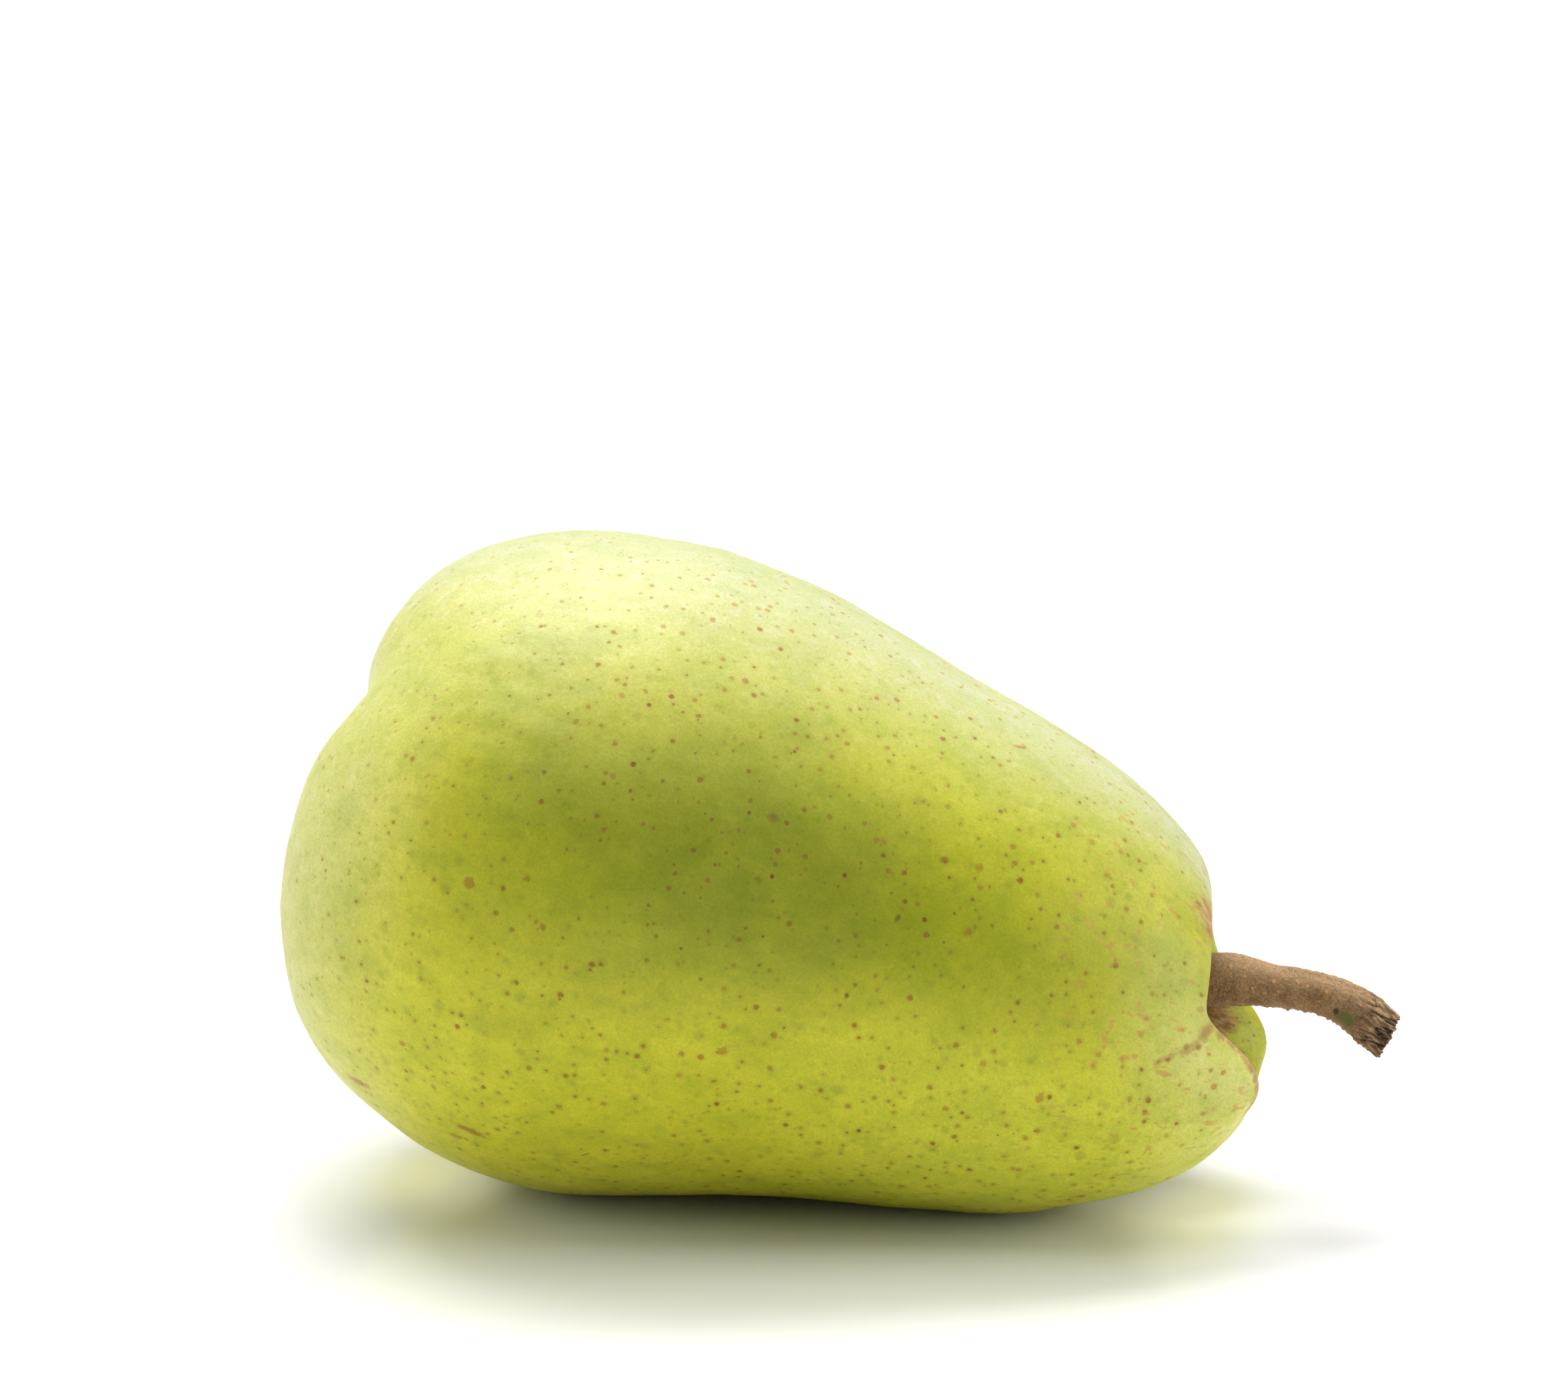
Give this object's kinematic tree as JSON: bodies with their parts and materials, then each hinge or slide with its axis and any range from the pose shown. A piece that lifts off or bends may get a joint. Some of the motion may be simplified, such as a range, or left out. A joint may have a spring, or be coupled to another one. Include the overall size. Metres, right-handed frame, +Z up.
{
  "type": "pear",
  "caption": "Fresh green-yellow pear lying on its side, with a woody bent stem and the dried remains of its flower.",
  "frame": {"origin": "on the resting surface, below the middle of the whole piece", "axes": "+X along the fruit from the blossom end to the stem end, +Z up as it rests, -Y towards the viewer's side"},
  "size_m": [0.1086, 0.066, 0.0653],
  "materials": {
    "skin": null,
    "bark": "rough, dry brown bark",
    "dried_flower": "dry, dark brown and leathery"
  },
  "bodies": {
    "root": {"pear_body": "skin", "stem": "bark", "sepal_1": "dried_flower", "sepal_2": "dried_flower", "sepal_3": "dried_flower", "sepal_4": "dried_flower", "sepal_5": "dried_flower", "stamens": "dried_flower"}
  },
  "joints": []
}
